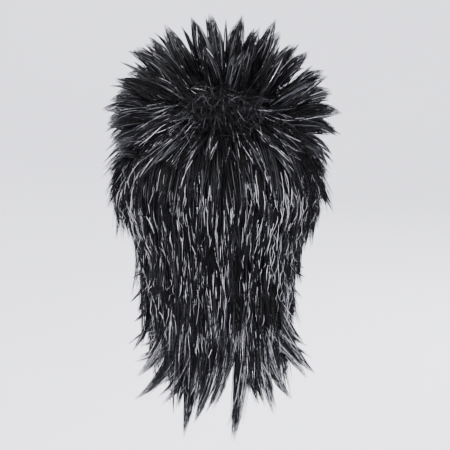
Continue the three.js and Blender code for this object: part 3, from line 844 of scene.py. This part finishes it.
for name, steps in SMOOTHING.items():
    bm = bmesh.new()
    bm.from_mesh(nodes[name].data)
    bmesh.ops.remove_doubles(bm, verts=bm.verts, dist=BED_MERGE)
    bmesh.ops.subdivide_edges(bm, edges=[e for e in bm.edges if e.calc_length() > LONG_EDGE], cuts=1)
    bmesh.ops.triangulate(bm, faces=bm.faces)
    for _ in range(steps):
        bmesh.ops.smooth_vert(bm, verts=bm.verts, factor=0.5, use_axis_x=True, use_axis_y=True, use_axis_z=True)
    bed = finished(bm, name + "_bed", dense_hair)
    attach(bed, "root")
    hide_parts(name)
    print(bed.name, len(bed.data.polygons), "triangles")

# %% [markdown]
# ## The crown
# From behind, the crown is a rosette: spikes leave the whorl in every direction, fine and feathered at their
# tips. The solids have its main spikes. Smaller ones fill the inside, narrow ones stand between the main spikes
# of the outline, and a few thin locks droop at the ears.

# %% Guides between the spikes
FILL_SPIKES, NARROW_SPIKES = 60, 56
LEFT_CLOCK, RIGHT_CLOCK = -93, 90  # between them the narrow spikes stand
LOW_CLOCK = 65  # spikes further round start nearer to the whorl, or they would cross the sides
# clock, reach and width of the locks that droop at the ears
SWEPT_LOCKS = [
    (99, 0.96, 0.6), (103, 0.97, 0.5), (106, 0.95, 0.6), (110, 0.92, 0.35), (-78, 0.94, 0.4), (-88, 0.93, 0.4),
    (-94, 0.9, 0.4), (-98, 0.96, 0.35), (-104, 1.0, 0.35), (-108, 0.93, 0.3),
]

rng = np.random.default_rng(11)
fill_guides = [
    spike(
        rng.uniform(-112, 112), rng.uniform(-75, 40), rng.uniform(0.72, 0.97), rng.uniform(0.35, 0.7),
        rng.uniform(0.35, 0.6), 900 + i,
    )
    for i in range(FILL_SPIKES)
]
clocks = np.linspace(LEFT_CLOCK, RIGHT_CLOCK, NARROW_SPIKES) + rng.normal(0, 1.5, NARROW_SPIKES)
outline_guides = [
    spike(
        clock, rng.uniform(-14, 20), rng.uniform(0.8, 0.92) if clock < -70 else rng.uniform(0.86, 1.02),
        rng.uniform(0.22, 0.4), rng.uniform(0.35, 0.5) if abs(clock) > LOW_CLOCK else rng.uniform(0.45, 0.65),
        1000 + i,
    )
    for i, clock in enumerate(clocks)
]
outline_guides += [
    spike(clock, 6, reach, width, 0.36, 1100 + i) for i, (clock, reach, width) in enumerate(SWEPT_LOCKS)
]
print("smaller spikes:", len(fill_guides) + len(outline_guides))

# %% [markdown]
# Short hair covers the dense dome under the spikes. Its locks are spread evenly by the golden angle, which never
# lines them up, and each lies along the head and runs away from the whorl.

# %% Guides of the dome
DOME_LOCKS = 300
DOME_LOW, DOME_SPAN = 0.42, 0.57  # the heights of the locks, in shares of the crown
DOME_DEPTH = 0.85
GOLDEN_TURN = math.pi * (3 - math.sqrt(5))


def combed(way, length, rise, width):
    """A lock that lies on the dense hair at a direction from the head's middle and runs away from the whorl."""
    axis = unit(np.cross(unit(WHORL), way))
    turn = (STATIONS * length / SPIKE_RADIUS)[:, None]
    lying = head_point(
        way * np.cos(turn) + np.cross(axis, way) * np.sin(turn),
        TEASED_THICKNESS * DOME_DEPTH + rise * STATIONS**LIFT_POWER,
    )
    return guide(lying, width, axis)


dome_guides = []
for i in range(DOME_LOCKS):
    height = DOME_LOW + DOME_SPAN * (i + 0.5) / DOME_LOCKS
    flat = math.sqrt(1 - height**2)
    way = unit(np.array([flat * math.cos(i * GOLDEN_TURN), flat * math.sin(i * GOLDEN_TURN), height]))
    dome_guides.append(
        combed(way, rng.uniform(0.03, 0.055), rng.uniform(0.002, 0.016), rng.uniform(0.008, 0.013))
    )
print("locks of the dome:", len(dome_guides))

# %% [markdown]
# The three kinds of locks get their strands. The main spikes hold together and end in three points, the small ones
# end in one, and the dome's hair is messier. About one strand in ten is painted grey as painted sheen, as on the
# real crown, where single fibres catch the light between dark ones.

# %% Crown strands
hair_piece(
    "crown_spike_strands", 100, crown_guides, 118, clumps=3, fray=0.36, short=0.25, loose=0.05, light=0.1
)
hair_piece(
    "crown_fill_strands", 110, fill_guides + outline_guides, 80,
    clumps=1, fray=0.2, short=0.1, loose=0.1, light=0.09,
)
hair_piece(
    "crown_dome_strands", 120, dome_guides, 27, clumps=3, fray=0.7, short=0.3, start=(0, 0.3), light=0.09
)

# %% [markdown]
# ## The sides
# Over the ears the layers are short and flare out. Besides the locks of the solids there are many short ones that
# lie close to the surface, like shingles, so that no bare bed shows and the layers run into each other. They could
# be placed by hand, but chance with a fixed seed gives an even cover that is the same in each run.

# %% Side strands
def shingles(seed, count, bearings, drops, length, surface, lift, width, sweep=4, sunk=0.002):
    """Small locks that lie on a layer of the hair. surface gives how far the layer stands off at a drop."""
    rng = np.random.default_rng(seed)
    made = []
    for _ in range(count):
        drop = rng.uniform(*drops)
        long = rng.uniform(*length)
        made.append(hanging(
            rng.uniform(*bearings), drop, drop + long, surface(drop) - sunk,
            surface(drop + long) + rng.uniform(*lift), rng.uniform(-sweep, sweep), rng.uniform(*width),
        ))
    return made


def side_surface(drop):
    """How far the side layers stand off the head at a drop."""
    share = min(max((drop - 0.05) / (SIDE_DROP - 0.05), 0), 1)
    return SIDE_THICKNESS * (1 - 0.5 * share**2)


for name, sign in (("side_left", 1), ("side_right", -1)):
    small = shingles(
        210 + sign, 34, bearings=sorted((sign * 46, sign * 112)), drops=(0.05, 0.085), length=(0.03, 0.055),
        surface=side_surface, lift=(0.003, 0.016), width=(0.008, 0.013),
    )
    hair_piece(
        name + "_strands", 200 + sign, side_guides[name] + small, 62,
        clumps=4, fray=0.5, short=0.3, tones=(0.1, 0.55),
    )

# %% [markdown]
# ## The fringe
# A few short choppy locks hang over the forehead. Small ones at their roots hide where they leave the crown.

# %% Fringe strands
FRINGE_SURFACE = 0.007

small = shingles(
    230, 14, bearings=(-42, 42), drops=(0.048, 0.06), length=(0.02, 0.04),
    surface=lambda drop: FRINGE_SURFACE, lift=(0.001, 0.006), width=(0.008, 0.012),
)
hair_piece("fringe_strands", 220, fringe_guides + small, 62, clumps=4, fray=0.4, short=0.3)

# %% [markdown]
# ## The back
# The upper layer falls from under the whorl and thins out over the longest hair, which hangs nearly straight. Both
# get many small locks, painted a little lighter than the crown's as painted light, because the light falls on them
# squarely.

# %% Upper back strands
UPPER_START = 0.027


def upper_surface(drop):
    """How far the upper back layer stands off the head at a drop."""
    share = min(max((drop - UPPER_START) / (UPPER_DROP - UPPER_START), 0), 1)
    thick = 0.6 * TEASED_THICKNESS + (UPPER_DEPTH - 0.6 * TEASED_THICKNESS) * min(2 * share, 1)
    return thick - 0.5 * UPPER_THICKNESS * share**2


small = shingles(
    250, 120, bearings=(104, 256), drops=(0.03, 0.15), length=(0.05, 0.085),
    surface=upper_surface, lift=(0.002, 0.012), width=(0.008, 0.014),
)
# the lighter tones here are painted light, where the light falls squarely
hair_piece(
    "upper_back_strands", 240, upper_guides + small, 42, clumps=4, fray=0.32, short=0.35, tones=(0.33, 0.6)
)

# %% [markdown]
# The longest hair has two pieces: small locks that cover the nape section down to where it parts, and the long
# locks and wisps themselves, with many strands each, as their tips stand free against the ground.

# %% Nape strands
def nape_surface(drop):
    """How far the nape section stands off the fall, the same at every drop."""
    return NAPE_THICKNESS * 0.8


small = shingles(
    270, 110, bearings=(106, 254), drops=(0.13, 0.2), length=(0.06, 0.09),
    surface=nape_surface, lift=(0.0, 0.008), width=(0.008, 0.014),
)
# the nape's lighter tones are painted light too
hair_piece("nape_strands", 260, small, 44, clumps=4, fray=0.35, short=0.25, tones=(0.45, 0.68))
hair_piece(
    "nape_lock_strands", 280, nape_guides + wisp_guides, 150,
    clumps=2, fray=0.3, short=0.12, start=(0.0, 0.45), loose=0.06, tones=(0.38, 0.72),
)

# %% [markdown]
# From the front, the inside of the long hair shows below the cap. Without strands it would be a smooth dark wall,
# so a row of loose locks hangs there too, a little inside the wall.

# %% Inner strands
INNER_SURFACE = -0.002

inner_guides = shingles(
    350, 96, bearings=(108, 252), drops=(0.126, 0.178), length=(0.055, 0.08),
    surface=lambda drop: INNER_SURFACE, lift=(-0.004, 0.0), width=(0.006, 0.011), sunk=0.0,
)
hair_piece("nape_inner_strands", 340, inner_guides, 42, clumps=3, fray=0.4, short=0.3, tones=(0.4, 0.7))

# %% [markdown]
# ## Silver tinsel
# Thin strips of metallised film are mixed into the hair. A strip is flat and twisted, and it dips in and out of
# the black strands, so it shows as short bright dashes and not as one line. On the back the strips lie one by one
# just over the layers. In the long locks and on the crown they follow the locks.

# %% Tinsel
BACK_STRIP_WIDTH, CROWN_STRIP_WIDTH = 0.0006, 0.00058
STRIP_FLATNESS, STRIP_TWIST = 0.3, 6.0
SURFACES_MEET = 0.19  # the drop where the upper layer gives way to the nape section


def tinsel_piece(name, seed, guides, count, width, **options):
    """A piece of flat twisted silver strips."""
    lines, _ = piece_lines(seed, guides, count, rings=6, start=(0.0, 0.6), fray=0.3, **options)
    rng = np.random.default_rng(seed + 1)
    column = rng.uniform(0, 0.98, len(lines))
    widths = width * rng.uniform(0.5, 1.1, len(lines))
    strand_piece(
        name, lines, widths, column, silver_tinsel, seed + 2, flat=STRIP_FLATNESS, twist=STRIP_TWIST
    )


def back_surface(drop):
    """How far the outermost hair of the back stands off at a drop."""
    return upper_surface(drop) if drop < SURFACES_MEET else nape_surface(drop)


back_strips = shingles(
    310, 1420, bearings=(104, 256), drops=(0.068, 0.214), length=(0.011, 0.036),
    surface=back_surface, lift=(0.003, 0.008), width=(0.003, 0.006), sweep=2, sunk=-0.003,
)
tinsel_piece(
    "tinsel_back", 300, back_strips + 16 * nape_guides + 14 * wisp_guides, 2.1,
    width=BACK_STRIP_WIDTH, weave=0.0013,
)
crown_strips = 2 * crown_guides + 2 * dome_guides + 3 * side_guides["side_left"] + side_guides["side_right"]
tinsel_piece("tinsel_crown", 320, crown_strips, 1.6, width=CROWN_STRIP_WIDTH, weave=0.0008)

# %% [markdown]
# ## Stray strands
# A few strands cross the others at odd angles, at the whorl most of all. They break up the order that the combed
# locks have. Each is a short bowed line round a point of the head, and one in five is a pale one, painted grey as
# painted sheen.

# %% Strays
WHORL_STRAYS = 900
STRAY_MIDDLE, STRAY_SPREAD = np.array([-0.07, 0.7, 0.72]), [0.24, 0.12, 0.14]
STRAY_ACROSS = [1.8, 1, 1]  # more strays run across the crown than along it
SHEEN_STRAY_SHARE, SHEEN_STRAY_WIDTH = 0.2, 0.0004


def stray_lines(seed, ways, offsets, length):
    """Short bowed lines that cross at any angle, around points of the head in the given directions."""
    rng = np.random.default_rng(seed)
    count = len(ways)
    middle = head_point(ways, TEASED_THICKNESS + rng.uniform(*offsets, count))
    run = unit(np.cross(ways, rng.normal(size=(count, 3)) * STRAY_ACROSS)) * rng.uniform(*length, (count, 1)) / 2
    bow = ways * rng.uniform(-0.001, 0.004, (count, 1))
    t = np.linspace(-1, 1, 5)[None, :, None]
    return middle[:, None] + run[:, None] * t - bow[:, None] * t**2


rng = np.random.default_rng(41)
whorl_ways = unit(STRAY_MIDDLE + rng.normal(size=(WHORL_STRAYS, 3)) * STRAY_SPREAD)
whorl_lines = stray_lines(42, whorl_ways, (-0.001, 0.009), (0.007, 0.026))
# the pale strays take the grey columns: painted sheen
light = rng.random(WHORL_STRAYS) < SHEEN_STRAY_SHARE
tone = np.where(light, rng.uniform(0.85, 0.98, WHORL_STRAYS), rng.uniform(0, 0.45, WHORL_STRAYS))
widths = np.where(light, SHEEN_STRAY_WIDTH, rng.uniform(0.0004, 0.0007, WHORL_STRAYS))
strand_piece("whorl_strays", whorl_lines, widths, tone, hair_fibre, 43)

# %% [markdown]
# ## Measure and finish
# The triangles of all the added pieces are counted. The dressed wig may stand only a little proud of the
# solids.

# %% Finish
added = [piece for piece in bpy.data.objects if piece.type == "MESH" and piece not in nodes.values()]
print("triangles added:", sum(len(piece.data.polygons) for piece in added))
